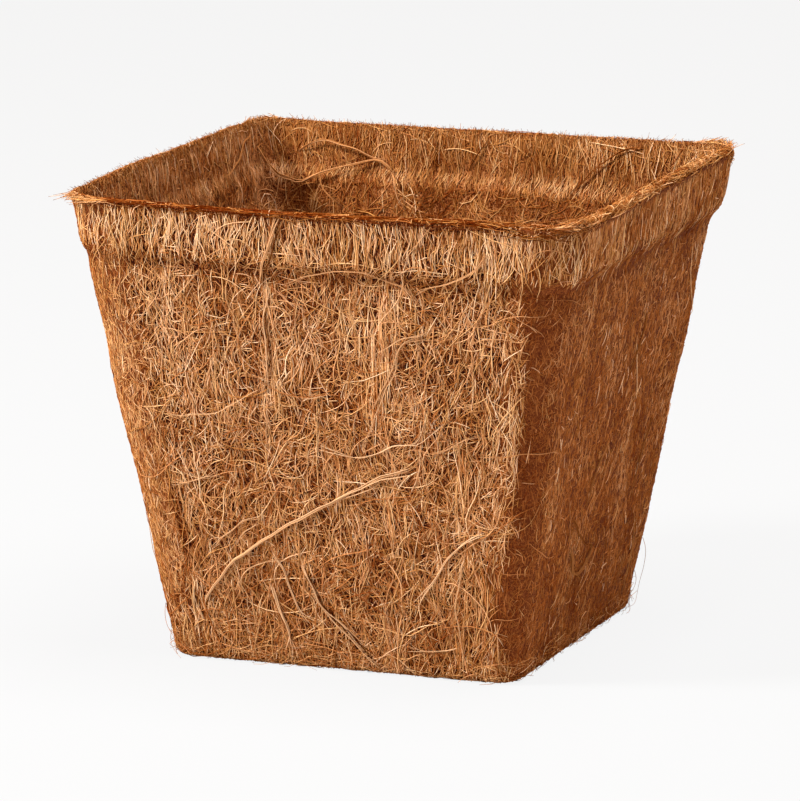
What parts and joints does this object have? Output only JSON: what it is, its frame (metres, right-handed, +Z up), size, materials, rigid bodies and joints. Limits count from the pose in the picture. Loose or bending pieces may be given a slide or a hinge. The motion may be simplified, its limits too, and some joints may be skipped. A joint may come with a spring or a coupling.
{
  "type": "coir plant pot",
  "caption": "Square tapered plant pot of pressed coconut fibre felt, with a stepped collar, a thin turned-out lip and loose coarse strands on its walls.",
  "frame": {"origin": "middle of the foot, on the ground plane", "axes": "+Z up through the open mouth, -Y out of the front wall, +X out of the right wall"},
  "size_m": [0.1174, 0.1174, 0.1],
  "materials": {
    "coir_felt": "dry pressed fibre felt, matt, orange brown",
    "coir_lap": "denser pressed fibre felt, fibres combed upright, matt",
    "coir_strand": "single coarse coir strands, slight sheen"
  },
  "bodies": {
    "root": {"base_mat": "coir_felt", "front_wall": "coir_felt", "right_wall": "coir_felt", "back_wall": "coir_felt", "left_wall": "coir_felt", "front_left_corner": "coir_lap", "front_right_corner": "coir_lap", "back_right_corner": "coir_lap", "back_left_corner": "coir_lap", "front_strands": "coir_strand", "right_strands": "coir_strand", "back_strands": "coir_strand", "left_strands": "coir_strand", "front_inner_strands": "coir_strand", "right_inner_strands": "coir_strand", "back_inner_strands": "coir_strand", "left_inner_strands": "coir_strand", "floor_strands": "coir_strand"}
  },
  "joints": []
}
